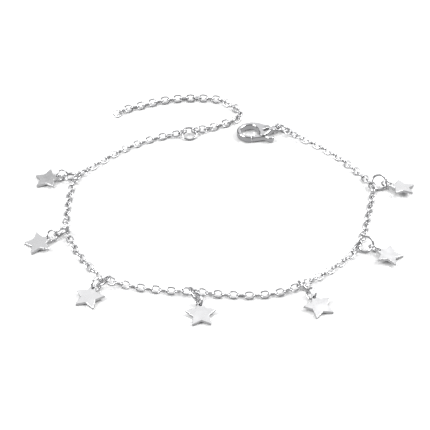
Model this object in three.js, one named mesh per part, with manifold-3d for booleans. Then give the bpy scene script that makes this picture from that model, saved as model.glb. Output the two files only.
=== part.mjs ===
// Charm anklet: a fine cable chain with seven flat star charms on jump rings, a lobster clasp
// with a sprung lever at one end and a short extender chain at the other, lying unfastened.
// Millimetres, +Z up, the surface it lies on at z = 0, origin under the middle of the whole piece.
import * as THREE from 'three';
import { mergeVertices } from 'three/addons/utils/BufferGeometryUtils.js';
import Module from 'manifold-3d';

const wasm = await Module();
wasm.setup();

const RAD = Math.PI / 180;
const UP = new THREE.Vector3(0, 0, 1);

// ---------------------------------------------------------------- driving dimensions

// Oval cable links; in both chains they lie rolled 45 degrees to either side in turn.
const MAIN_LINK = { length: 2.5, width: 1.95, wire: 0.36, count: 109 };
const EXTENDER_LINK = { length: 2.55, width: 2.2, wire: 0.45, count: 31 };

// Jump rings, by outer diameter and wire.
const BIG_RING = { outer: 4.25, wire: 0.55 };
const SMALL_RING = { outer: 3.0, wire: 0.45 };

// Star charms: five points, a hole near the point that hangs from the ring.
const STAR = { tip: 3.8, waist: 1.9, thick: 0.7, holeAt: 2.55, hole: 0.38 };

// Lobster clasp, lying flat. Along its length u runs from the nose to the eye, and v across it.
const CLASP = { x: 3.9, y: 26.5, heading: 15.5, thick: 1.9, round: 0.32 };
const EYE = { u: 10.9, outer: 1.4, hole: 0.8, thick: 0.8 };
const PIVOT = { u: 6.3, v: -2.3, cheek: 0.85, pin: 0.3 };
const LEVER = { thick: 1.5, tongue: 0.6, hole: 0.52, boss: 0.8, round: 0.28 };
const LEVER_GAP = 0.2;

// Room left round a wire where it goes through a link or a star.
const WIRE_GAP = 0.16;

// ---------------------------------------------------------------- where things lie

// Route of the main chain's middle, from the clasp round the loop: x, y and how far it is lifted.
const MAIN_ROUTE = [
  [16.5, 28.4, 0.5], [17.9, 27.4, 0.4], [20.2, 25.7, 0.1], [24.7, 22.3, 0.02], [30.0, 17.2, 0],
  [34.1, 11.4, 0], [36.4, 8.0, 0.05], [37.8, 4.6, 0.45], [37.2, 0.4, 0.05], [35.8, -6.0, 0],
  [34.2, -12.6, 0.05], [32.4, -17.4, 0.45], [30.0, -21.0, 0.05], [24.6, -26.4, 0.05], [18.2, -31.3, 0.4],
  [12.7, -33.7, 0.05], [5.5, -34.6, 0], [-1.7, -34.1, 0.05], [-6.7, -33.6, 0.4], [-12.2, -33.1, 0.05],
  [-19.1, -32.0, 0], [-24.0, -30.6, 0], [-27.9, -28.8, 0], [-31.2, -25.4, 0], [-35.4, -18.8, 0.05],
  [-38.0, -12.2, 0.4], [-38.5, -5.8, 0.05], [-38.5, 0.3, 0], [-38.0, 5.8, 0], [-37.3, 8.9, 0],
  [-35.0, 11.6, 0], [-30.0, 16.8, 0], [-24.4, 21.5, 0], [-18.3, 25.0, 0], [-14.4, 26.3, 0.06],
  [-11.7, 27.0, 0.35], [-9.4, 27.7, 0.5],
];

// Route of the extender, from its ring to the bare last link.
const EXTENDER_ROUTE = [
  [-8.3, 27.9, 0.4], [-6.0, 28.6, 0.32], [-3.3, 29.6, 0.06], [-0.3, 31.1, 0], [2.6, 32.5, 0],
  [4.3, 34.3, 0], [4.6, 36.8, 0], [3.0, 39.2, 0], [0.3, 41.8, 0], [-3.0, 43.0, 0],
  [-9.8, 43.1, 0], [-16.4, 42.0, 0], [-22.6, 39.4, 0], [-25.6, 38.3, 0], [-29.2, 35.5, 0],
];

// One row for each charm: the chain link it hangs from, the heading and lean of its big ring
// (0 flat, 90 upright), the room between the two rings' wires, the lean of its small ring, and
// the star's place, heading of its hung point, rise of that point and roll about it, in degrees.
const CHARMS = [
  {
    link: 90, heading: 188, lean: 14, slack: 0.45, small: 118,
    x: -44.5, y: 8.1, yaw: 9, pitch: 8, roll: 0,
  },
  {
    link: 78, heading: 214, lean: 60, slack: 0.15, small: 130,
    x: -44.4, y: -16.5, yaw: 30, pitch: 8, roll: 0,
  },
  {
    link: 67, heading: 237, lean: 40, slack: 0.5, small: 115,
    x: -31.0, y: -35.1, yaw: 72, pitch: 8, roll: 0,
  },
  {
    link: 55, heading: 285, lean: 125, slack: 0.5, small: 65,
    x: -5.2, y: -40.8, yaw: 94, pitch: 8, roll: 0,
  },
  {
    link: 41, heading: 304, lean: 120, slack: 0.2, small: 58,
    x: 21.8, y: -38.1, yaw: 115, pitch: 8, roll: 0,
  },
  {
    link: 30, heading: 342, lean: 50, slack: 0.25, small: 115,
    x: 39.3, y: -20.9, yaw: 148, pitch: 5, roll: 7,
  },
  {
    link: 17, heading: 5, lean: 50, slack: 0.6, small: 112,
    x: 45.0, y: 4.4, yaw: 168, pitch: 2, roll: 11,
  },
];

// Leans of the two rings that join the chains' ends.
const CLASP_RING_LEAN = 60;
const EXTENDER_RING_LEAN = 20;

// ---------------------------------------------------------------- finishes

function silver(color, roughness) {
  return new THREE.MeshStandardMaterial({ color, roughness, metalness: 1 });
}

// ---------------------------------------------------------------- solids

// The same surface with its shared corners merged, so that it is one closed mesh.
function closed(geometry) {
  geometry.deleteAttribute('normal');
  geometry.deleteAttribute('uv');
  return mergeVertices(geometry, 1e-4);
}

function solid(geometry) {
  const vertProperties = new Float32Array(geometry.attributes.position.array);
  const triVerts = new Uint32Array(geometry.index.array);
  return new wasm.Manifold(new wasm.Mesh({ numProp: 3, vertProperties, triVerts }));
}

function geometryOf(body) {
  const mesh = body.getMesh();
  const geometry = new THREE.BufferGeometry();
  geometry.setAttribute('position', new THREE.BufferAttribute(mesh.vertProperties, 3));
  geometry.setIndex(new THREE.BufferAttribute(mesh.triVerts, 1));
  geometry.computeVertexNormals();
  return geometry;
}

function plate(shape, low, high, round) {
  const geometry = new THREE.ExtrudeGeometry(shape, {
    depth: high - low - 2 * round,
    bevelEnabled: round > 0,
    bevelThickness: round,
    bevelSize: round,
    bevelOffset: -round,
    bevelSegments: 2,
    curveSegments: 6,
  });
  geometry.translate(0, 0, low + round);
  return closed(geometry);
}

function disc(u, v, radius, low, high) {
  const geometry = new THREE.CylinderGeometry(radius, radius, high - low, 24);
  geometry.rotateX(Math.PI / 2);
  geometry.translate(u, v, (low + high) / 2);
  return closed(geometry);
}

// ---------------------------------------------------------------- chains

function halfHeight(link) {
  return (link.width - link.wire) / 2 * Math.SQRT1_2 + link.wire / 2;
}

function routeCurve(points, link) {
  const rest = halfHeight(link);
  const places = points.map(([x, y, lift]) => new THREE.Vector3(x, y, rest + lift));
  const curve = new THREE.CatmullRomCurve3(places, false, 'catmullrom', 0.5);
  curve.arcLengthDivisions = 2000;
  return curve;
}

// Middle of link number k along a chain whose first and last links end at the route's ends.
function linkMiddle(curve, link, k) {
  const length = curve.getLength();
  const pitch = (length - link.length) / (link.count - 1);
  return curve.getPointAt((link.length / 2 + k * pitch) / length);
}

// The chain's outer form: a square of the links' height with its corners cut off.
function chainTube(curve, link, steps) {
  const half = halfHeight(link);
  const corner = link.width / 2 * Math.SQRT2 - half;
  const section = new THREE.Shape();
  section.moveTo(half, -corner);
  section.lineTo(half, corner);
  section.lineTo(corner, half);
  section.lineTo(-corner, half);
  section.lineTo(-half, corner);
  section.lineTo(-half, -corner);
  section.lineTo(-corner, -half);
  section.lineTo(corner, -half);
  section.closePath();
  const tube = { steps, extrudePath: curve, bevelEnabled: false };
  return closed(new THREE.ExtrudeGeometry(section, tube));
}

// ---------------------------------------------------------------- jump rings

function ringSize(ring) {
  const wire = ring.wire / 2;
  return { radius: ring.outer / 2 - wire, wire };
}

// Directions in a ring's plane: along it, and up its slope.
function slope(along, lean) {
  const left = new THREE.Vector3().crossVectors(UP, along).normalize();
  const rise = new THREE.Vector3().crossVectors(along, left).normalize();
  return left.multiplyScalar(Math.cos(lean)).addScaledVector(rise, Math.sin(lean));
}

// A ring that holds the point `from`, leans over its heading and touches the surface if it can.
function leaningRing(ring, from, heading, lean) {
  const { radius, wire } = ringSize(ring);
  const along = new THREE.Vector3(Math.cos(heading * RAD), Math.sin(heading * RAD), 0);
  const up = slope(along, lean * RAD);
  const height = radius * Math.sin(lean * RAD) + wire;
  const turn = Math.asin((height - from.z) / (radius * Math.sin(lean * RAD)));
  const centre = from.clone();
  centre.addScaledVector(along, radius * Math.cos(turn));
  centre.addScaledVector(up, radius * Math.sin(turn));
  return { ring, centre, along, up, turn };
}

// The point of a leaning ring across from the one it hangs on, at the same height, moved
// inwards from the middle of the wire.
function farSide(placed, inwards) {
  const { radius } = ringSize(placed.ring);
  const point = placed.centre.clone();
  point.addScaledVector(placed.along, (radius - inwards) * Math.cos(placed.turn));
  return point.addScaledVector(placed.up, -(radius - inwards) * Math.sin(placed.turn));
}

// A ring through two points, leaning about the line between them.
function spanningRing(ring, from, to, lean) {
  const { radius } = ringSize(ring);
  const along = to.clone().sub(from);
  const half = along.length() / 2;
  along.normalize();
  const up = slope(along, lean * RAD);
  const centre = from.clone().lerp(to, 0.5);
  centre.addScaledVector(up, Math.sqrt(Math.max(radius * radius - half * half, 0)));
  return { ring, centre, along, up };
}

// The ring's wire, made fatter by `extra` where it is used to cut a way for itself.
function ringGeometry(placed, extra) {
  const { radius, wire } = ringSize(placed.ring);
  const geometry = closed(new THREE.TorusGeometry(radius, wire + extra, 8, 20));
  const axis = new THREE.Vector3().crossVectors(placed.along, placed.up);
  const basis = new THREE.Matrix4().makeBasis(placed.along, placed.up, axis);
  basis.setPosition(placed.centre);
  return geometry.applyMatrix4(basis);
}

// ---------------------------------------------------------------- stars

function starShape() {
  const shape = new THREE.Shape();
  for (let k = 0; k < 10; k += 1) {
    const reach = k % 2 === 0 ? STAR.tip : STAR.waist;
    const angle = k * Math.PI / 5;
    const x = reach * Math.cos(angle);
    const y = reach * Math.sin(angle);
    if (k === 0) {
      shape.moveTo(x, y);
    } else {
      shape.lineTo(x, y);
    }
  }
  shape.closePath();
  return shape;
}

// A star turned to its place and let down until its lowest edge rests on the surface.
function placedStar(charm) {
  const turn = new THREE.Matrix4().makeRotationZ(charm.yaw * RAD);
  turn.multiply(new THREE.Matrix4().makeRotationY(-charm.pitch * RAD));
  turn.multiply(new THREE.Matrix4().makeRotationX(charm.roll * RAD));
  const whole = solid(plate(starShape(), -STAR.thick / 2, STAR.thick / 2, 0));
  const drill = solid(disc(STAR.holeAt, 0, STAR.hole, -STAR.thick, STAR.thick));
  const geometry = geometryOf(whole.subtract(drill));
  geometry.applyMatrix4(turn);
  geometry.computeBoundingBox();
  const height = -geometry.boundingBox.min.z;
  geometry.translate(charm.x, charm.y, height);
  const hole = new THREE.Vector3(STAR.holeAt, 0, 0).applyMatrix4(turn);
  hole.add(new THREE.Vector3(charm.x, charm.y, height));
  return { geometry, hole };
}

// ---------------------------------------------------------------- clasp

// Fixed half: nose bow, broad far plate, web and near rail round the spring's slot, and neck.
function claspOutline() {
  const shape = new THREE.Shape();
  shape.moveTo(3.0, -3.3);
  shape.bezierCurveTo(1.3, -3.0, 0, -1.5, 0, 0.1);
  shape.bezierCurveTo(0, 1.9, 1.8, 3.4, 4.0, 3.4);
  shape.bezierCurveTo(5.7, 3.4, 6.8, 2.5, 7.7, 1.7);
  shape.bezierCurveTo(8.5, 1.1, 9.5, 0.7, 10.4, 0.7);
  shape.lineTo(10.4, -0.75);
  shape.bezierCurveTo(9.7, -0.9, 9.3, -1.2, 8.8, -1.6);
  shape.lineTo(7.4, -2.6);
  shape.lineTo(6.8, -2.9);
  shape.lineTo(5.9, -2.7);
  shape.lineTo(5.6, -2.0);
  shape.lineTo(5.6, 0);
  shape.bezierCurveTo(5.5, 1.3, 5.0, 2.2, 3.9, 2.25);
  shape.bezierCurveTo(2.4, 2.3, 1.15, 1.4, 1.1, 0.1);
  shape.bezierCurveTo(1.05, -1.0, 1.8, -2.1, 3.0, -2.3);
  shape.closePath();
  return shape;
}

// Slot for the spring, between the far plate and the near rail.
function slotOutline() {
  const shape = new THREE.Shape();
  shape.moveTo(6.6, -0.65);
  shape.lineTo(7.1, -1.45);
  shape.lineTo(9.1, -0.7);
  shape.lineTo(8.5, 0.05);
  shape.closePath();
  return shape;
}

function claspBody() {
  const middle = CLASP.thick / 2;
  let body = solid(plate(claspOutline(), 0, CLASP.thick, CLASP.round));
  body = body.subtract(solid(plate(slotOutline(), -1, CLASP.thick + 1, 0)));
  body = body.add(solid(disc(PIVOT.u, PIVOT.v, PIVOT.cheek, 0, CLASP.thick)));
  const low = middle - LEVER.tongue / 2 - LEVER_GAP;
  const high = middle + LEVER.tongue / 2 + LEVER_GAP;
  const reach = PIVOT.cheek + LEVER_GAP + 0.1;
  body = body.subtract(solid(disc(PIVOT.u, PIVOT.v, reach, low, high)));
  body = body.add(solid(disc(PIVOT.u, PIVOT.v, PIVOT.pin, low - 0.2, high + 0.2)));
  const eye = solid(disc(EYE.u, 0, EYE.outer, middle - EYE.thick / 2, middle + EYE.thick / 2));
  body = body.add(eye);
  return body.subtract(solid(disc(EYE.u, 0, EYE.hole, -1, CLASP.thick + 1)));
}

// Lever: an arm from the pivot to the hook's tip and a rounded thumb tab outside the rail.
function leverOutline() {
  const shape = new THREE.Shape();
  shape.moveTo(3.3, -3.3);
  shape.bezierCurveTo(4.3, -3.4, 5.3, -3.4, 6.2, -3.5);
  shape.bezierCurveTo(6.9, -3.7, 7.0, -4.7, 8.0, -4.8);
  shape.bezierCurveTo(8.8, -4.8, 9.1, -4.1, 8.7, -3.7);
  shape.lineTo(7.4, -3.3);
  shape.lineTo(PIVOT.u, PIVOT.v);
  shape.lineTo(5.3, -2.2);
  shape.lineTo(3.3, -2.3);
  shape.closePath();
  return shape;
}

function claspLever() {
  const middle = CLASP.thick / 2;
  const tongue = LEVER.tongue / 2;
  const half = LEVER.thick / 2;
  let lever = solid(plate(leverOutline(), middle - half, middle + half, LEVER.round));
  const room = PIVOT.cheek + LEVER_GAP;
  lever = lever.subtract(solid(disc(PIVOT.u, PIVOT.v, room, middle + tongue, CLASP.thick + 1)));
  lever = lever.subtract(solid(disc(PIVOT.u, PIVOT.v, room, -1, middle - tongue)));
  lever = lever.add(solid(disc(PIVOT.u, PIVOT.v, LEVER.boss, middle - tongue, middle + tongue)));
  return lever.subtract(solid(disc(PIVOT.u, PIVOT.v, LEVER.hole, -1, CLASP.thick + 1)));
}

// The clasp's own frame turned and moved to where it lies.
function placedOnClasp(geometry) {
  geometry.rotateZ(CLASP.heading * RAD);
  return geometry.translate(CLASP.x, CLASP.y, 0);
}

function eyeMiddle() {
  const turn = CLASP.heading * RAD;
  const x = CLASP.x + EYE.u * Math.cos(turn);
  return new THREE.Vector3(x, CLASP.y + EYE.u * Math.sin(turn), CLASP.thick / 2);
}

// ---------------------------------------------------------------- assembly

const anklet = new THREE.Group();

function addPiece(name, geometry, material) {
  const mesh = new THREE.Mesh(geometry, material);
  mesh.name = name;
  anklet.add(mesh);
  return mesh;
}

const mainCurve = routeCurve(MAIN_ROUTE, MAIN_LINK);
const extenderCurve = routeCurve(EXTENDER_ROUTE, EXTENDER_LINK);
let mainChain = solid(chainTube(mainCurve, MAIN_LINK, 84));
let extenderChain = solid(chainTube(extenderCurve, EXTENDER_LINK, 40));

CHARMS.forEach((charm, index) => {
  const number = index + 1;
  const star = placedStar(charm);
  const hung = linkMiddle(mainCurve, MAIN_LINK, charm.link);
  const big = leaningRing(BIG_RING, hung, charm.heading, charm.lean);
  const inwards = (BIG_RING.wire + SMALL_RING.wire) / 2 + charm.slack;
  const small = spanningRing(SMALL_RING, farSide(big, inwards), star.hole, charm.small);
  mainChain = mainChain.subtract(solid(ringGeometry(big, WIRE_GAP)));
  const cut = solid(star.geometry).subtract(solid(ringGeometry(small, WIRE_GAP)));
  addPiece(`chain_ring_${number}`, ringGeometry(big, 0), silver(0xc9cbcd, 0.12));
  addPiece(`star_ring_${number}`, ringGeometry(small, 0), silver(0xc9cbcd, 0.12));
  addPiece(`star_${number}`, geometryOf(cut), silver(0xe4e5e6, 0.2));
});

const firstLink = linkMiddle(mainCurve, MAIN_LINK, 0);
const eye = eyeMiddle();
const claspHeading = Math.atan2(eye.y - firstLink.y, eye.x - firstLink.x) / RAD;
const claspRing = leaningRing(BIG_RING, firstLink, claspHeading, CLASP_RING_LEAN);
mainChain = mainChain.subtract(solid(ringGeometry(claspRing, WIRE_GAP)));

const lastLink = linkMiddle(mainCurve, MAIN_LINK, MAIN_LINK.count - 1);
const extenderLink = linkMiddle(extenderCurve, EXTENDER_LINK, 0);
const endHeading = Math.atan2(extenderLink.y - lastLink.y, extenderLink.x - lastLink.x) / RAD;
const extenderRing = leaningRing(BIG_RING, lastLink, endHeading, EXTENDER_RING_LEAN);
mainChain = mainChain.subtract(solid(ringGeometry(extenderRing, WIRE_GAP)));
extenderChain = extenderChain.subtract(solid(ringGeometry(extenderRing, WIRE_GAP)));

addPiece('main_chain', geometryOf(mainChain), silver(0xbfc1c4, 0.2));
addPiece('extender_chain', geometryOf(extenderChain), silver(0xbfc1c4, 0.2));
addPiece('clasp_ring', ringGeometry(claspRing, 0), silver(0xc9cbcd, 0.12));
addPiece('extender_ring', ringGeometry(extenderRing, 0), silver(0xc9cbcd, 0.12));
const wireWay = solid(ringGeometry(claspRing, WIRE_GAP));
const body = solid(placedOnClasp(geometryOf(claspBody()))).subtract(wireWay);
addPiece('clasp_body', geometryOf(body), silver(0xc4c6c8, 0.15));
addPiece('clasp_lever', placedOnClasp(geometryOf(claspLever())), silver(0xd0d2d4, 0.12));

export default anklet;
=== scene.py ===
import math
import random

import bmesh
import bpy
from mathutils import Matrix, Vector


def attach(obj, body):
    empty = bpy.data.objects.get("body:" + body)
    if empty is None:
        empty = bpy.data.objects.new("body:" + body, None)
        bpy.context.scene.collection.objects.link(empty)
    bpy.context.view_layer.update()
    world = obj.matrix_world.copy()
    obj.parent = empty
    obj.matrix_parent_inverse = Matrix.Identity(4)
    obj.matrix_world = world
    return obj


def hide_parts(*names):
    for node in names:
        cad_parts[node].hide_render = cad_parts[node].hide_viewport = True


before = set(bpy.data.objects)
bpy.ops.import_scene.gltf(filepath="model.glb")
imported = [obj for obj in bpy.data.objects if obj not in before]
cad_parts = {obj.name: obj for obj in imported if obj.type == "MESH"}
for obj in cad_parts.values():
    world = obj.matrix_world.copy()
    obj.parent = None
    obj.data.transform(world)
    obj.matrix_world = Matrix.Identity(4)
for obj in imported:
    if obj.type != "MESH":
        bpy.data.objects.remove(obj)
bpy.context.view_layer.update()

MM = 0.001
UP = Vector((0, 0, 1))

# ---------------------------------------------------------------- driving dimensions

# Oval cable links: length, width and wire thickness, and how many there are.
MAIN_LINK = {"length": 2.5, "width": 1.95, "wire": 0.36, "count": 109}
EXTENDER_LINK = {"length": 2.55, "width": 2.2, "wire": 0.45, "count": 31}
# The extender's links as they show: a little slack, with finer wire than their shared outline.
EXTENDER_SHOWN = {**EXTENDER_LINK, "length": 2.75, "width": 2.25, "wire": 0.38}
LINK_STEPS = 28
LINK_SIDES = 10
# The power that makes a link's oval a little squarer than an ellipse.
LINK_SQUARENESS = 0.86

# Links roll to either side in turn, unevenly by the jitter. Within the reach of a link that
# carries a ring, counted in links, they turn so that the ring's wire goes through that link.
ROLL = math.radians(45)
ROLL_JITTER = math.radians(7)
ROLL_REACH = 3
JITTER_SEED = 11

BIG_RING = {"outer": 4.25, "wire": 0.55}
SMALL_RING = {"outer": 3.0, "wire": 0.45}
RING_STEPS = 60
RING_SIDES = 14
# Width of the split where a ring was closed, and where it is round each kind of ring.
RING_SPLIT = math.radians(2.2)
BIG_SPLIT_AT = 1.2
SMALL_SPLIT_AT = 2.0
END_SPLIT_AT = 1.5
# Edges steeper than this stay sharp, in degrees: the cut ends of the wire.
RING_SHARP = 50

STAR = {"tip": 3.8, "waist": 1.9, "thick": 0.7, "hole_at": 2.55, "hole": 0.38, "edge": 0.1}
STAR_CORNERS = 10
STAR_TIP_CUT = 0.3
STAR_WAIST_CUT = 0.12
# A face this close to level belongs to a star's flat top or bottom.
STAR_FLAT = 0.99

CLASP = {"x": 3.9, "y": 26.5, "heading": 15.5, "thick": 1.9, "round": 0.4}
EYE = {"u": 10.9, "radius": 1.1, "half_width": 0.3, "half_height": 0.4}
PIVOT = {"u": 6.3, "v": -2.3, "cheek": 0.85, "pin": 0.3}
LEVER = {"thick": 1.5, "tongue": 0.6, "hole": 0.52, "boss": 0.8, "round": 0.38}
LEVER_GAP = 0.2
WIRE_GAP = 0.08

# The fixed half thins from the start of the neck to the eye, by this share of its thickness.
NECK = {"start": 8.3, "length": 2.1, "thinning": 0.55}
# The cheek's edge and how far it is set in, the room in the fork, and the pin's rounded head.
CHEEK_EDGE = 0.2
CHEEK_INSET = 0.02
FORK_ROOM = 0.1
PIN_OVERLAP = 0.2
PIN_HEAD = {"wider": 0.1, "depth": 0.3, "edge": 0.08}
# A cutter reaches this far past the faces that it goes through.
CUT_PAST = 1

CAST_VOXEL = 0.055
CAST_SOFTENING = 0.5
CAST_PASSES = 6
# Points closer than this are one point.
MERGE = 1e-4

# Route of the main chain's middle, from the clasp round the loop: x, y and how far it is lifted.
MAIN_ROUTE = [
    (16.5, 28.4, 0.5), (17.9, 27.4, 0.4), (20.2, 25.7, 0.1), (24.7, 22.3, 0.02), (30.0, 17.2, 0),
    (34.1, 11.4, 0), (36.4, 8.0, 0.05), (37.8, 4.6, 0.45), (37.2, 0.4, 0.05), (35.8, -6.0, 0),
    (34.2, -12.6, 0.05), (32.4, -17.4, 0.45), (30.0, -21.0, 0.05), (24.6, -26.4, 0.05),
    (18.2, -31.3, 0.4), (12.7, -33.7, 0.05), (5.5, -34.6, 0), (-1.7, -34.1, 0.05),
    (-6.7, -33.6, 0.4), (-12.2, -33.1, 0.05), (-19.1, -32.0, 0), (-24.0, -30.6, 0),
    (-27.9, -28.8, 0), (-31.2, -25.4, 0), (-35.4, -18.8, 0.05), (-38.0, -12.2, 0.4),
    (-38.5, -5.8, 0.05), (-38.5, 0.3, 0), (-38.0, 5.8, 0), (-37.3, 8.9, 0), (-35.0, 11.6, 0),
    (-30.0, 16.8, 0), (-24.4, 21.5, 0), (-18.3, 25.0, 0), (-14.4, 26.3, 0.06),
    (-11.7, 27.0, 0.35), (-9.4, 27.7, 0.5),
]

# Route of the extender, from its ring to the bare last link.
EXTENDER_ROUTE = [
    (-8.3, 27.9, 0.4), (-6.0, 28.6, 0.32), (-3.3, 29.6, 0.06), (-0.3, 31.1, 0), (2.6, 32.5, 0),
    (4.3, 34.3, 0), (4.6, 36.8, 0), (3.0, 39.2, 0), (0.3, 41.8, 0), (-3.0, 43.0, 0),
    (-9.8, 43.1, 0), (-16.4, 42.0, 0), (-22.6, 39.4, 0), (-25.6, 38.3, 0), (-29.2, 35.5, 0),
]

# One row for each charm: the chain link it hangs from, the heading and lean of its big ring,
# the room between the two rings' wires, the lean of its small ring, and the star's place,
# heading of its hung point, rise of that point and roll about it. Angles are in degrees.
CHARM_FIELDS = ("link", "heading", "lean", "slack", "small", "x", "y", "yaw", "pitch", "roll")
CHARMS = [
    (90, 188, 14, 0.45, 118, -44.5, 8.1, 9, 8, 0),
    (78, 214, 60, 0.15, 130, -44.4, -16.5, 30, 8, 0),
    (67, 237, 40, 0.5, 115, -31.0, -35.1, 72, 8, 0),
    (55, 285, 125, 0.5, 65, -5.2, -40.8, 94, 8, 0),
    (41, 304, 120, 0.2, 58, 21.8, -38.1, 115, 8, 0),
    (30, 342, 50, 0.25, 115, 39.3, -20.9, 148, 5, 7),
    (17, 5, 50, 0.6, 112, 45.0, 4.4, 168, 2, 11),
]

CLASP_RING_LEAN = 60
EXTENDER_RING_LEAN = 20

# ---------------------------------------------------------------- routes


def half_height(link):
    return (link["width"] - link["wire"]) / 2 * math.sqrt(0.5) + link["wire"] / 2


def spline_point(p0, p1, p2, p3, t):
    """A uniform Catmull-Rom curve from p1 to p2."""
    start, end = (p2 - p0) / 2, (p3 - p1) / 2
    t2, t3 = t * t, t * t * t
    near = p1 * (2 * t3 - 3 * t2 + 1) + start * (t3 - 2 * t2 + t)
    return near + p2 * (3 * t2 - 2 * t3) + end * (t3 - t2)


class Route:
    """A chain's middle line, walked by its length."""

    STEPS = 60

    def __init__(self, points, link):
        rest = half_height(link)
        places = [Vector((x, y, rest + lift)) for x, y, lift in points]
        before = places[0] * 2 - places[1]
        after = places[-1] * 2 - places[-2]
        knots = [before, *places, after]
        self.line = [places[0]]
        for i in range(1, len(places)):
            for step in range(1, self.STEPS + 1):
                self.line.append(spline_point(*knots[i - 1 : i + 3], step / self.STEPS))
        self.walked = [0.0]
        for a, b in zip(self.line, self.line[1:]):
            self.walked.append(self.walked[-1] + (b - a).length)
        self.length = self.walked[-1]
        self.first = link["length"] / 2
        self.pitch = (self.length - link["length"]) / (link["count"] - 1)

    def at(self, distance):
        low, high = 0, len(self.walked) - 1
        while high - low > 1:
            middle = (low + high) // 2
            if self.walked[middle] <= distance:
                low = middle
            else:
                high = middle
        part = (distance - self.walked[low]) / (self.walked[high] - self.walked[low])
        return self.line[low].lerp(self.line[high], part)

    def link_middle(self, k):
        return self.at(self.first + k * self.pitch)


# ---------------------------------------------------------------- places of the rings


def ring_size(ring):
    wire = ring["wire"] / 2
    return ring["outer"] / 2 - wire, wire


def slope(along, lean):
    """The direction up a ring's plane, for a plane that leans about `along`."""
    left = UP.cross(along).normalized()
    rise = along.cross(left).normalized()
    return left * math.cos(lean) + rise * math.sin(lean)


def leaning_ring(ring, start, heading, lean):
    """A ring that holds the point `start`, leans over its heading and touches the surface."""
    radius, wire = ring_size(ring)
    heading, lean = math.radians(heading), math.radians(lean)
    along = Vector((math.cos(heading), math.sin(heading), 0))
    up = slope(along, lean)
    height = radius * math.sin(lean) + wire
    turn = math.asin((height - start.z) / (radius * math.sin(lean)))
    centre = start + along * (radius * math.cos(turn)) + up * (radius * math.sin(turn))
    return {"ring": ring, "centre": centre, "along": along, "up": up, "turn": turn}


def far_side(placed, inwards):
    """The point of a leaning ring across from the one it hangs on, moved inwards."""
    reach = ring_size(placed["ring"])[0] - inwards
    along = placed["along"] * (reach * math.cos(placed["turn"]))
    return placed["centre"] + along - placed["up"] * (reach * math.sin(placed["turn"]))


def spanning_ring(ring, start, end, lean):
    """A ring through two points, leaning about the line between them."""
    radius = ring_size(ring)[0]
    half = (end - start).length / 2
    along = (end - start).normalized()
    up = slope(along, math.radians(lean))
    centre = start.lerp(end, 0.5) + up * math.sqrt(max(radius * radius - half * half, 0))
    return {"ring": ring, "centre": centre, "along": along, "up": up}


def wire_direction(placed):
    """The direction of the ring's wire where it goes through its chain link."""
    return placed["up"] * math.cos(placed["turn"]) - placed["along"] * math.sin(placed["turn"])


# ---------------------------------------------------------------- mesh building


class Shape:
    """Vertices in millimetres and faces, filled by the builders below."""

    def __init__(self):
        self.points = []
        self.faces = []

    def sweep(self, centres, outs, normals, radius, sides, closed):
        """A round wire along centres. outs and normals span its section at each of them."""
        start = len(self.points)
        count = len(centres)
        for centre, out, normal in zip(centres, outs, normals):
            for j in range(sides):
                angle = 2 * math.pi * j / sides
                self.points.append(
                    centre + out * (radius * math.cos(angle)) + normal * (radius * math.sin(angle))
                )
        for i in range(count if closed else count - 1):
            a, b = start + i * sides, start + (i + 1) % count * sides
            for j in range(sides):
                k = (j + 1) % sides
                self.faces.append((a + j, b + j, b + k, a + k))
        if not closed:
            last = start + (count - 1) * sides
            self.faces.append(tuple(start + j for j in range(sides)))
            self.faces.append(tuple(last + sides - 1 - j for j in range(sides)))

    def oval_link(self, link, middle, tangent, side):
        """One closed oval link; its long way is along tangent and its width along side."""
        wire = link["wire"] / 2
        long, wide = link["length"] / 2 - wire, link["width"] / 2 - wire
        normal = tangent.cross(side)
        flat = []
        for i in range(LINK_STEPS):
            angle = 2 * math.pi * i / LINK_STEPS
            c, s = math.cos(angle), math.sin(angle)
            x = math.copysign(abs(c) ** LINK_SQUARENESS, c) * long
            y = math.copysign(abs(s) ** LINK_SQUARENESS, s) * wide
            flat.append(tangent * x + side * y)
        centres, outs = [], []
        for i, point in enumerate(flat):
            way = (flat[(i + 1) % LINK_STEPS] - flat[i - 1]).normalized()
            centres.append(middle + point)
            outs.append(way.cross(normal))
        self.sweep(centres, outs, [normal] * LINK_STEPS, wire, LINK_SIDES, closed=True)

    def jump_ring(self, placed, split_at):
        """A round ring of wire with the fine split where it was closed."""
        radius, wire = ring_size(placed["ring"])
        along, up = placed["along"], placed["up"]
        normal = along.cross(up)
        outs, centres = [], []
        for i in range(RING_STEPS + 1):
            angle = split_at + RING_SPLIT / 2 + (2 * math.pi - RING_SPLIT) * i / RING_STEPS
            out = along * math.cos(angle) + up * math.sin(angle)
            outs.append(out)
            centres.append(placed["centre"] + out * radius)
        normals = [normal] * (RING_STEPS + 1)
        self.sweep(centres, outs, normals, wire, RING_SIDES, closed=False)

    def mesh(self, name):
        mesh = bpy.data.meshes.new(name)
        mesh.from_pydata(self.points, [], self.faces)
        mesh.validate()
        return mesh


def new_object(name, mesh):
    obj = bpy.data.objects.new(name, mesh)
    bpy.context.scene.collection.objects.link(obj)
    return obj


def add_piece(name, mesh, material, body, slot, *nodes):
    """Turns a mesh from millimetres into metres and puts it on its CAD body."""
    work = bmesh.new()
    work.from_mesh(mesh)
    bmesh.ops.recalc_face_normals(work, faces=work.faces)
    bmesh.ops.scale(work, vec=(MM, MM, MM), verts=work.verts)
    work.to_mesh(mesh)
    work.free()
    mesh.materials.clear()
    mesh.materials.append(material)
    obj = new_object(name, mesh)
    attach(obj, body)
    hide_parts(*nodes)


def smooth(mesh, sharp_degrees=None):
    mesh.shade_smooth()
    if sharp_degrees is not None:
        mesh.set_sharp_from_angle(angle=math.radians(sharp_degrees))


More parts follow.
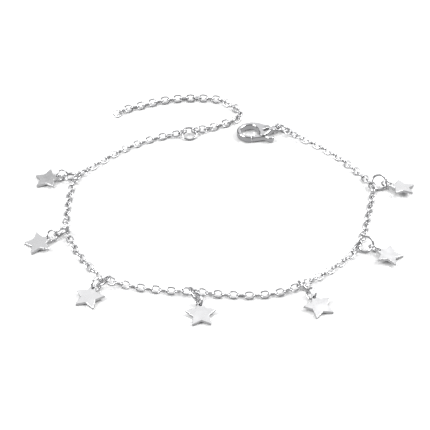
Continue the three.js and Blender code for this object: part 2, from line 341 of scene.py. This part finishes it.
def take_mesh(obj):
    """The object's mesh with its modifiers applied; the object itself goes."""
    bpy.context.view_layer.update()
    depsgraph = bpy.context.evaluated_depsgraph_get()
    mesh = bpy.data.meshes.new_from_object(obj.evaluated_get(depsgraph))
    bpy.data.objects.remove(obj)
    return mesh


def turned_outward(mesh, merge=0.0):
    """The mesh with its faces turned outward, and points closer than `merge` made one."""
    work = bmesh.new()
    work.from_mesh(mesh)
    if merge:
        bmesh.ops.remove_doubles(work, verts=work.verts, dist=merge)
    bmesh.ops.recalc_face_normals(work, faces=work.faces)
    work.to_mesh(mesh)
    work.free()
    return mesh


def plate(outlines, low, high, edge):
    """A flat plate from its outline and any holes, with edges rounded by `edge`."""
    curve = bpy.data.curves.new("outline", "CURVE")
    curve.dimensions = "2D"
    curve.fill_mode = "BOTH"
    curve.extrude = (high - low) / 2 - edge
    curve.bevel_depth = edge
    curve.bevel_resolution = 3
    curve.offset = -edge
    for outline in outlines:
        spline = curve.splines.new("POLY")
        spline.points.add(len(outline) - 1)
        for point, (x, y) in zip(spline.points, outline):
            point.co = (x, y, 0, 1)
        spline.use_cyclic_u = True
    mesh = take_mesh(new_object("outline", curve))
    mesh.transform(Matrix.Translation((0, 0, (low + high) / 2)))
    return turned_outward(mesh, MERGE)


def rounded(corners, cuts, steps=4):
    """A closed outline whose corners are rounded off, each over its own distance."""
    outline = []
    for i, corner in enumerate(corners):
        before, after = corners[i - 1], corners[(i + 1) % len(corners)]
        start = corner + (before - corner).normalized() * cuts[i]
        end = corner + (after - corner).normalized() * cuts[i]
        for step in range(steps + 1):
            t = step / steps
            outline.append(start.lerp(corner, t).lerp(corner.lerp(end, t), t))
    return outline


def circle(u, v, radius, steps=32):
    turns = [2 * math.pi * i / steps for i in range(steps)]
    return [(u + radius * math.cos(a), v + radius * math.sin(a)) for a in turns]


def drawn(start, *segments, steps=10):
    """An outline drawn with straight lines (one point) and Bezier curves (three points)."""
    outline = [Vector(start)]
    for segment in segments:
        if len(segment) == 1:
            outline.append(Vector(segment[0]))
            continue
        p0, (p1, p2, p3) = outline[-1], map(Vector, segment)
        for step in range(1, steps + 1):
            t, r = step / steps, 1 - step / steps
            outline.append(p0 * r**3 + p1 * (3 * r * r * t) + p2 * (3 * r * t * t) + p3 * t**3)
    return outline


def disc(u, v, radius, low, high, edge=0.0):
    return plate([circle(u, v, radius)], low, high, edge)


def combined(base, steps):
    """base with each (operation, mesh) of steps carried out on it in turn."""
    for operation, mesh in steps:
        obj, tool = new_object("base", base), new_object("tool", mesh)
        change = obj.modifiers.new("change", "BOOLEAN")
        change.operation = operation
        change.solver = "EXACT"
        change.object = tool
        base = take_mesh(obj)
        bpy.data.objects.remove(tool)
    return base


def cast(mesh):
    """The mesh as a casting: its corners softened a little."""
    obj = new_object("cast", mesh)
    remesh = obj.modifiers.new("remesh", "REMESH")
    remesh.mode = "VOXEL"
    remesh.voxel_size = CAST_VOXEL
    soften = obj.modifiers.new("soften", "SMOOTH")
    soften.factor = CAST_SOFTENING
    soften.iterations = CAST_PASSES
    return take_mesh(obj)


# ---------------------------------------------------------------- finishes


# Painted shade: how far off a neighbouring surface still darkens the colour of a hollow, in
# millimetres, how open a place is where the painted shade is darkest and where it is clear, and
# how dark the painted shade gets in the deepest hollows.
PAINTED_SHADE_REACH = 1.2
PAINTED_SHADE_RAMP = (0.15, 0.7)
PAINTED_SHADE_DARKEST = 0.12

# The clouds: the band of noise that they use, their darker tint, and the gloss at either end.
CLOUD_BAND = (0.3, 0.7)
CLOUD_TINT = 0.93
CLOUD_GLOSS = (0.7, 1.35)

# The polishing lines: noise drawn out along one direction that is turned off the axes.
LINE_SCALE = 900.0
LINE_STRETCH = (1.0, 14.0, 14.0)
LINE_TURN = (0.0, 0.3, 0.7)
LINE_STRENGTH = 0.35


def silver(name, colour, roughness, scratch, cloud):
    """Silver plate with painted shade in its recesses, soft clouds and fine polishing lines.

    scratch is the depth of the lines and cloud the size of the clouds, in millimetres."""
    material = bpy.data.materials.new(name)
    material.use_nodes = True
    nodes, links = material.node_tree.nodes, material.node_tree.links
    shader = nodes["Principled BSDF"]
    shader.inputs["Metallic"].default_value = 1.0

    place = nodes.new("ShaderNodeTexCoord")
    clouds = nodes.new("ShaderNodeTexNoise")
    clouds.inputs["Scale"].default_value = 1 / (cloud * MM)
    clouds.inputs["Detail"].default_value = 3.0
    links.new(place.outputs["Object"], clouds.inputs["Vector"])

    tint = nodes.new("ShaderNodeValToRGB")
    tint.color_ramp.elements[0].position = CLOUD_BAND[0]
    tint.color_ramp.elements[0].color = (*[c * CLOUD_TINT for c in colour], 1)
    tint.color_ramp.elements[1].position = CLOUD_BAND[1]
    tint.color_ramp.elements[1].color = (*colour, 1)
    links.new(clouds.outputs["Fac"], tint.inputs["Fac"])

    # Painted shade: ambient occlusion darkens the base colour in recesses and between parts.
    painted_shade_ao = nodes.new("ShaderNodeAmbientOcclusion")
    painted_shade_ao.samples = 8
    painted_shade_ao.inputs["Distance"].default_value = PAINTED_SHADE_REACH * MM
    depth = nodes.new("ShaderNodeValToRGB")
    depth.color_ramp.elements[0].position = PAINTED_SHADE_RAMP[0]
    depth.color_ramp.elements[0].color = (PAINTED_SHADE_DARKEST, PAINTED_SHADE_DARKEST, PAINTED_SHADE_DARKEST, 1)
    depth.color_ramp.elements[1].position = PAINTED_SHADE_RAMP[1]
    depth.color_ramp.elements[1].color = (1, 1, 1, 1)
    shade = nodes.new("ShaderNodeMixRGB")
    shade.blend_type = "MULTIPLY"
    shade.inputs["Fac"].default_value = 1.0
    links.new(painted_shade_ao.outputs["AO"], depth.inputs["Fac"])
    links.new(tint.outputs["Color"], shade.inputs["Color1"])
    links.new(depth.outputs["Color"], shade.inputs["Color2"])
    links.new(shade.outputs["Color"], shader.inputs["Base Color"])

    gloss = nodes.new("ShaderNodeMapRange")
    gloss.inputs["From Min"].default_value = CLOUD_BAND[0]
    gloss.inputs["From Max"].default_value = CLOUD_BAND[1]
    gloss.inputs["To Min"].default_value = roughness * CLOUD_GLOSS[0]
    gloss.inputs["To Max"].default_value = roughness * CLOUD_GLOSS[1]
    links.new(clouds.outputs["Fac"], gloss.inputs["Value"])
    links.new(gloss.outputs["Result"], shader.inputs["Roughness"])

    stretch = nodes.new("ShaderNodeMapping")
    stretch.inputs["Scale"].default_value = LINE_STRETCH
    stretch.inputs["Rotation"].default_value = LINE_TURN
    lines = nodes.new("ShaderNodeTexNoise")
    lines.inputs["Scale"].default_value = LINE_SCALE
    lines.inputs["Detail"].default_value = 4.0
    links.new(place.outputs["Object"], stretch.inputs["Vector"])
    links.new(stretch.outputs["Vector"], lines.inputs["Vector"])
    bump = nodes.new("ShaderNodeBump")
    bump.inputs["Strength"].default_value = LINE_STRENGTH
    bump.inputs["Distance"].default_value = scratch * MM
    links.new(lines.outputs["Fac"], bump.inputs["Height"])
    links.new(bump.outputs["Normal"], shader.inputs["Normal"])
    return material


CHAIN_SILVER = silver("chain_silver", (0.74, 0.74, 0.75), 0.22, 0.004, 1.2)
EXTENDER_SILVER = silver("extender_silver", (0.74, 0.74, 0.75), 0.2, 0.004, 1.4)
RING_SILVER = silver("ring_silver", (0.78, 0.78, 0.79), 0.15, 0.004, 1.6)
STAR_SILVER = silver("star_silver", (0.93, 0.93, 0.935), 0.3, 0.003, 2.5)
CLASP_SILVER = silver("clasp_silver", (0.7, 0.7, 0.71), 0.14, 0.005, 2.0)
LEVER_SILVER = silver("lever_silver", (0.8, 0.8, 0.81), 0.14, 0.005, 2.0)

# ---------------------------------------------------------------- chains


def link_rolls(route, link, carriers):
    """Each link's roll: to either side in turn, turned where a ring goes through."""
    chance = random.Random(JITTER_SEED)
    rolls = [ROLL * (-1 if k % 2 == 0 else 1) for k in range(link["count"])]
    offsets = [chance.uniform(-ROLL_JITTER, ROLL_JITTER) for _ in rolls]
    for carrier, wire in carriers.items():
        tangent = link_tangent(route, carrier)
        left = UP.cross(tangent).normalized()
        rise = tangent.cross(left)
        side = wire.cross(tangent)
        wanted = math.atan2(side.dot(rise), side.dot(left))
        offset = (wanted - rolls[carrier] + math.pi / 2) % math.pi - math.pi / 2
        for k in range(len(rolls)):
            share = max(0.0, 1 - abs(k - carrier) / ROLL_REACH)
            offsets[k] = offsets[k] * (1 - share) + offset * share
    return [roll + offset for roll, offset in zip(rolls, offsets)]


def link_ends(route, k):
    """The two points on the route where link k meets its neighbours."""
    start = route.first + (k - 0.5) * route.pitch
    return route.at(max(start, 0)), route.at(min(start + route.pitch, route.length))


def link_tangent(route, k):
    start, end = link_ends(route, k)
    return (end - start).normalized()


def chain(route, link, carriers):
    shape = Shape()
    rolls = link_rolls(route, link, carriers)
    wire = link["wire"] / 2
    long, wide = link["length"] / 2 - wire, link["width"] / 2 - wire
    for k, roll in enumerate(rolls):
        start, end = link_ends(route, k)
        middle = start.lerp(end, 0.5)
        tangent = (end - start).normalized()
        left = UP.cross(tangent).normalized()
        side = left * math.cos(roll) + tangent.cross(left) * math.sin(roll)
        reach = math.hypot(long * tangent.z, wide * side.z) + wire
        middle.z = max(middle.z, reach)
        shape.oval_link(link, middle, tangent, side)
    return shape


main_route = Route(MAIN_ROUTE, MAIN_LINK)
extender_route = Route(EXTENDER_ROUTE, EXTENDER_LINK)

# ---------------------------------------------------------------- charms


def star_corner(k):
    """The star's corner number k, before rounding; the even ones are its tips."""
    reach = STAR["tip"] if k % 2 == 0 else STAR["waist"]
    angle = k * math.pi / 5
    return reach * math.cos(angle), reach * math.sin(angle)


def star_mesh():
    corners = [Vector(star_corner(k)) for k in range(STAR_CORNERS)]
    cuts = [STAR_WAIST_CUT if k % 2 else STAR_TIP_CUT for k in range(STAR_CORNERS)]
    hole = circle(STAR["hole_at"], 0, STAR["hole"], 28)
    half = STAR["thick"] / 2
    mesh = plate([rounded(corners, cuts), hole], -half, half, STAR["edge"])
    for polygon in mesh.polygons:
        polygon.use_smooth = abs(polygon.normal.z) < STAR_FLAT
    return mesh


def sharp_star_height(turn):
    """How far the middle of a star is above the surface when its lowest corner rests on it."""
    lowest = 0.0
    for k in range(STAR_CORNERS):
        corner = Vector((*star_corner(k), -STAR["thick"] / 2))
        lowest = min(lowest, (turn @ corner).z)
    return -lowest


def add_ring(name, placed, split_at, node):
    """A jump ring, in place of the CAD node that stands for it."""
    ring = Shape()
    ring.jump_ring(placed, split_at)
    mesh = ring.mesh(name)
    smooth(mesh, RING_SHARP)
    add_piece(name, mesh, RING_SILVER, "anklet", "ring_silver", node)


big_wires = {}
for number, row in enumerate(CHARMS, start=1):
    charm = dict(zip(CHARM_FIELDS, row))
    turn = Matrix.Rotation(math.radians(charm["yaw"]), 4, "Z")
    turn = turn @ Matrix.Rotation(math.radians(-charm["pitch"]), 4, "Y")
    turn = turn @ Matrix.Rotation(math.radians(charm["roll"]), 4, "X")
    height = sharp_star_height(turn)
    place = Matrix.Translation((charm["x"], charm["y"], height)) @ turn
    hole = place @ Vector((STAR["hole_at"], 0, 0))

    hung = main_route.link_middle(charm["link"])
    big = leaning_ring(BIG_RING, hung, charm["heading"], charm["lean"])
    inwards = (BIG_RING["wire"] + SMALL_RING["wire"]) / 2 + charm["slack"]
    small = spanning_ring(SMALL_RING, far_side(big, inwards), hole, charm["small"])
    big_wires[charm["link"]] = wire_direction(big)

    star = star_mesh()
    star.transform(place)
    add_piece(f"star_charm_{number}", star, STAR_SILVER, "anklet", "star_silver", f"star_{number}")
    add_ring(f"chain_jump_ring_{number}", big, BIG_SPLIT_AT, f"chain_ring_{number}")
    add_ring(f"star_jump_ring_{number}", small, SMALL_SPLIT_AT, f"star_ring_{number}")

# ---------------------------------------------------------------- rings at the ends


def heading_to(start, end):
    return math.degrees(math.atan2(end.y - start.y, end.x - start.x))


clasp_turn = math.radians(CLASP["heading"])
clasp_place = Matrix.Translation((CLASP["x"], CLASP["y"], 0)) @ Matrix.Rotation(clasp_turn, 4, "Z")
eye_middle = clasp_place @ Vector((EYE["u"], 0, CLASP["thick"] / 2))
first_link = main_route.link_middle(0)
last_link = main_route.link_middle(MAIN_LINK["count"] - 1)
extender_link = extender_route.link_middle(0)
clasp_heading = heading_to(first_link, eye_middle)
clasp_ring = leaning_ring(BIG_RING, first_link, clasp_heading, CLASP_RING_LEAN)
end_heading = heading_to(last_link, extender_link)
extender_ring = leaning_ring(BIG_RING, last_link, end_heading, EXTENDER_RING_LEAN)
add_ring("clasp_jump_ring", clasp_ring, END_SPLIT_AT, "clasp_ring")
add_ring("extender_jump_ring", extender_ring, END_SPLIT_AT, "extender_ring")

big_wires[0] = wire_direction(clasp_ring)
big_wires[MAIN_LINK["count"] - 1] = wire_direction(extender_ring)

links = chain(main_route, MAIN_LINK, big_wires).mesh("main_links")
smooth(links)
add_piece("main_links", links, CHAIN_SILVER, "anklet", "chain_silver", "main_chain")

across = (extender_ring["centre"] - extender_link).normalized()
through = across.cross(extender_ring["along"].cross(extender_ring["up"]))
links = chain(extender_route, EXTENDER_SHOWN, {0: through}).mesh("extender_links")
smooth(links)
add_piece("extender_links", links, EXTENDER_SILVER, "anklet", "extender_silver", "extender_chain")

# ---------------------------------------------------------------- clasp

# Fixed half: nose bow, broad far plate, web and near rail round the spring's slot, and neck.
CLASP_OUTLINE = drawn(
    (3.0, -3.3),
    ((1.3, -3.0), (0, -1.5), (0, 0.1)),
    ((0, 1.9), (1.8, 3.4), (4.0, 3.4)),
    ((5.7, 3.4), (6.8, 2.5), (7.7, 1.7)),
    ((8.5, 1.1), (9.5, 0.7), (10.4, 0.7)),
    ((10.4, -0.75),),
    ((9.7, -0.9), (9.3, -1.2), (8.8, -1.6)),
    ((7.4, -2.6),),
    ((6.8, -2.9),),
    ((5.9, -2.7),),
    ((5.6, -2.0),),
    ((5.6, 0),),
    ((5.5, 1.3), (5.0, 2.2), (3.9, 2.25)),
    ((2.4, 2.3), (1.15, 1.4), (1.1, 0.1)),
    ((1.05, -1.0), (1.8, -2.1), (3.0, -2.3)),
)

# Slot for the spring, between the far plate and the near rail.
SLOT_OUTLINE = rounded(
    [Vector((6.6, -0.65)), Vector((7.1, -1.45)), Vector((9.1, -0.7)), Vector((8.5, 0.05))],
    [0.2, 0.2, 0.15, 0.2],
)

# Lever: an arm from the pivot to the hook's tip and a rounded thumb tab outside the rail.
LEVER_OUTLINE = drawn(
    (3.3, -3.3),
    ((4.3, -3.4), (5.3, -3.4), (6.2, -3.5)),
    ((6.9, -3.7), (7.0, -4.7), (8.0, -4.8)),
    ((8.8, -4.8), (9.1, -4.1), (8.7, -3.7)),
    ((7.4, -3.3),),
    ((PIVOT["u"], PIVOT["v"]),),
    ((5.3, -2.2),),
    ((3.3, -2.3),),
)


def ring_wire(placed, extra, steps=40, sides=12):
    """The ring's wire as a closed mesh, made fatter by `extra`."""
    radius, wire = ring_size(placed["ring"])
    along, up = placed["along"], placed["up"]
    turns = [2 * math.pi * i / steps for i in range(steps)]
    outs = [along * math.cos(a) + up * math.sin(a) for a in turns]
    shape = Shape()
    centres = [placed["centre"] + out * radius for out in outs]
    shape.sweep(centres, outs, [along.cross(up)] * steps, wire + extra, sides, closed=True)
    return turned_outward(shape.mesh("way"))


def eye_mesh(steps=48, sides=16):
    """The eye: a ring with an oval section, round where wire runs over it."""
    middle = Vector((EYE["u"], 0, CLASP["thick"] / 2))
    points, faces = [], []
    for i in range(steps):
        turn = 2 * math.pi * i / steps
        out = Vector((math.cos(turn), math.sin(turn), 0))
        for j in range(sides):
            angle = 2 * math.pi * j / sides
            across = EYE["radius"] + EYE["half_width"] * math.cos(angle)
            points.append(middle + out * across + UP * (EYE["half_height"] * math.sin(angle)))
            a, b = i * sides, (i + 1) % steps * sides
            k = (j + 1) % sides
            faces.append((a + j, b + j, b + k, a + k))
    mesh = bpy.data.meshes.new("eye")
    mesh.from_pydata(points, [], faces)
    return mesh


def clasp_mesh():
    middle, thick = CLASP["thick"] / 2, CLASP["thick"]
    base = plate([CLASP_OUTLINE], 0, thick, CLASP["round"])
    # The neck thins towards the eye.
    for vertex in base.vertices:
        along = min(max((vertex.co.x - NECK["start"]) / NECK["length"], 0), 1)
        share = 1 - NECK["thinning"] * along * along * (3 - 2 * along)
        vertex.co.z = middle + (vertex.co.z - middle) * share
    low = middle - LEVER["tongue"] / 2 - LEVER_GAP
    high = middle + LEVER["tongue"] / 2 + LEVER_GAP
    u, v = PIVOT["u"], PIVOT["v"]
    reach = PIVOT["cheek"] + LEVER_GAP + FORK_ROOM
    cheek = disc(u, v, PIVOT["cheek"], CHEEK_INSET, thick - CHEEK_INSET, CHEEK_EDGE)
    pin = disc(u, v, PIVOT["pin"], low - PIN_OVERLAP, high + PIN_OVERLAP)
    head_radius = PIVOT["pin"] + PIN_HEAD["wider"]
    head = disc(u, v, head_radius, thick - PIN_HEAD["depth"], thick, PIN_HEAD["edge"])
    mesh = combined(
        base,
        [
            ("DIFFERENCE", plate([SLOT_OUTLINE], -CUT_PAST, thick + CUT_PAST, 0)),
            ("UNION", cheek),
            ("DIFFERENCE", disc(u, v, reach, low, high)),
            ("UNION", pin),
            ("UNION", head),
            ("UNION", eye_mesh()),
        ],
    )
    mesh.transform(clasp_place)
    mesh = combined(mesh, [("DIFFERENCE", ring_wire(clasp_ring, WIRE_GAP))])
    return cast(mesh)


def lever_mesh():
    middle, thick = CLASP["thick"] / 2, CLASP["thick"]
    tongue = LEVER["tongue"] / 2
    u, v = PIVOT["u"], PIVOT["v"]
    room = PIVOT["cheek"] + LEVER_GAP
    half = LEVER["thick"] / 2
    mesh = combined(
        plate([LEVER_OUTLINE], middle - half, middle + half, LEVER["round"]),
        [
            ("DIFFERENCE", disc(u, v, room, middle + tongue, thick + CUT_PAST)),
            ("DIFFERENCE", disc(u, v, room, -CUT_PAST, middle - tongue)),
            ("UNION", disc(u, v, LEVER["boss"], middle - tongue, middle + tongue)),
            ("DIFFERENCE", disc(u, v, LEVER["hole"], -CUT_PAST, thick + CUT_PAST)),
        ],
    )
    mesh.transform(clasp_place)
    return cast(mesh)


casting = clasp_mesh()
smooth(casting)
add_piece("clasp_casting", casting, CLASP_SILVER, "anklet", "clasp_silver", "clasp_body")
thumb = lever_mesh()
smooth(thumb)
add_piece("thumb_lever", thumb, LEVER_SILVER, "lever", "lever_silver", "clasp_lever")

# ---------------------------------------------------------------- floor, light and camera

# In metres. The floor is a hair below the part, so that no faces coincide.
FLOOR_SIZE = 3.0
FLOOR_DROP = 0.00002
FLOOR_WHITE = 0.93
FLOOR_IOR = 1.9
FLOOR_ROUGHNESS = (0.12, 0.16)
FLOOR_GRAIN = 60.0

CAMERA_PLACE = Vector((-0.002, -0.2625, 0.2194))
CAMERA_AIM = Vector((-0.002, -0.0051, 0))
LENS = 114.5
SENSOR = 36.0
CLIP = (0.01, 10.0)

SOFTBOXES = {"left_softbox": (-0.5, -0.1, 0.45), "right_softbox": (0.5, 0.1, 0.45)}
SOFTBOX_SIDE = 0.4
SOFTBOX_POWER = 4.0

# Brightness of the room, of the white cards, and of what is below the table.
ROOM = 0.27
CARD = 0.93
BELOW = 0.5

# Each card: the direction of its middle, and the cosines where its soft edge starts and ends.
HIGH_CARD = ((0.15, 0.5, 0.85), 0.81, 0.89)
LOW_CARD = ((0.25, 0.93, 0.35), 0.88, 0.96)
GROUND = ((0, 0, -1), 0.0, 0.25)


def floor_material():
    """White, slightly glossy, with a faint unevenness."""
    material = bpy.data.materials.new("white_surface")
    material.use_nodes = True
    nodes, links = material.node_tree.nodes, material.node_tree.links
    shader = nodes["Principled BSDF"]
    shader.inputs["Base Color"].default_value = (FLOOR_WHITE, FLOOR_WHITE, FLOOR_WHITE, 1)
    shader.inputs["IOR"].default_value = FLOOR_IOR
    grain = nodes.new("ShaderNodeTexNoise")
    grain.inputs["Scale"].default_value = FLOOR_GRAIN
    gloss = nodes.new("ShaderNodeMapRange")
    gloss.inputs["To Min"].default_value = FLOOR_ROUGHNESS[0]
    gloss.inputs["To Max"].default_value = FLOOR_ROUGHNESS[1]
    links.new(grain.outputs["Fac"], gloss.inputs["Value"])
    links.new(gloss.outputs["Result"], shader.inputs["Roughness"])
    return material


def softbox(name, place):
    """A square light that faces the middle of the part."""
    light = bpy.data.lights.new(name, "AREA")
    light.shape = "RECTANGLE"
    light.size, light.size_y = SOFTBOX_SIDE, SOFTBOX_SIDE
    light.energy = SOFTBOX_POWER
    obj = new_object(name, light)
    obj.location = place
    obj.rotation_euler = (-Vector(place)).to_track_quat("-Z", "Y").to_euler()


def blend_of(nodes, links, direction, card, back, front):
    """A colour that goes from back to front as a direction turns towards the card.

    back and front are grey values or colour sockets."""
    facing, start, end = card
    turned = nodes.new("ShaderNodeVectorMath")
    turned.operation = "DOT_PRODUCT"
    turned.inputs[1].default_value = Vector(facing).normalized()
    share = nodes.new("ShaderNodeMapRange")
    share.interpolation_type = "SMOOTHSTEP"
    share.inputs["From Min"].default_value = start
    share.inputs["From Max"].default_value = end
    mix = nodes.new("ShaderNodeMix")
    mix.data_type = "RGBA"
    links.new(direction, turned.inputs[0])
    links.new(turned.outputs["Value"], share.inputs["Value"])
    links.new(share.outputs["Result"], mix.inputs["Factor"])
    for name, value in (("A", back), ("B", front)):
        socket = next(s for s in mix.inputs if s.name == name and s.type == "RGBA")
        if isinstance(value, float):
            socket.default_value = (value, value, value * 1.01, 1)
        else:
            links.new(value, socket)
    return next(s for s in mix.outputs if s.type == "RGBA")


def studio_world():
    """A dim room with one white card high behind the table and another low behind it."""
    world = bpy.data.worlds.new("studio")
    bpy.context.scene.world = world
    world.use_nodes = True
    nodes, links = world.node_tree.nodes, world.node_tree.links
    direction = nodes.new("ShaderNodeTexCoord").outputs["Generated"]
    cards = blend_of(nodes, links, direction, HIGH_CARD, ROOM, CARD)
    cards = blend_of(nodes, links, direction, LOW_CARD, cards, CARD)
    below = blend_of(nodes, links, direction, GROUND, cards, BELOW)
    links.new(below, nodes["Background"].inputs["Color"])


bpy.ops.mesh.primitive_plane_add(size=FLOOR_SIZE, location=(0, 0, -FLOOR_DROP))
floor = bpy.context.object
floor.name = "floor"
floor.data.materials.append(floor_material())
# Silver reflects the room and not this white, so that it stands out from it.
floor.visible_glossy = False

studio_world()
for name, place in SOFTBOXES.items():
    softbox(name, place)

lens = bpy.data.cameras.new("camera")
lens.lens = LENS
lens.sensor_width = SENSOR
lens.clip_start, lens.clip_end = CLIP
camera = new_object("camera", lens)
camera.location = CAMERA_PLACE
camera.rotation_euler = (CAMERA_AIM - CAMERA_PLACE).to_track_quat("-Z", "Y").to_euler()
bpy.context.scene.camera = camera
bpy.context.scene.view_settings.view_transform = "Standard"
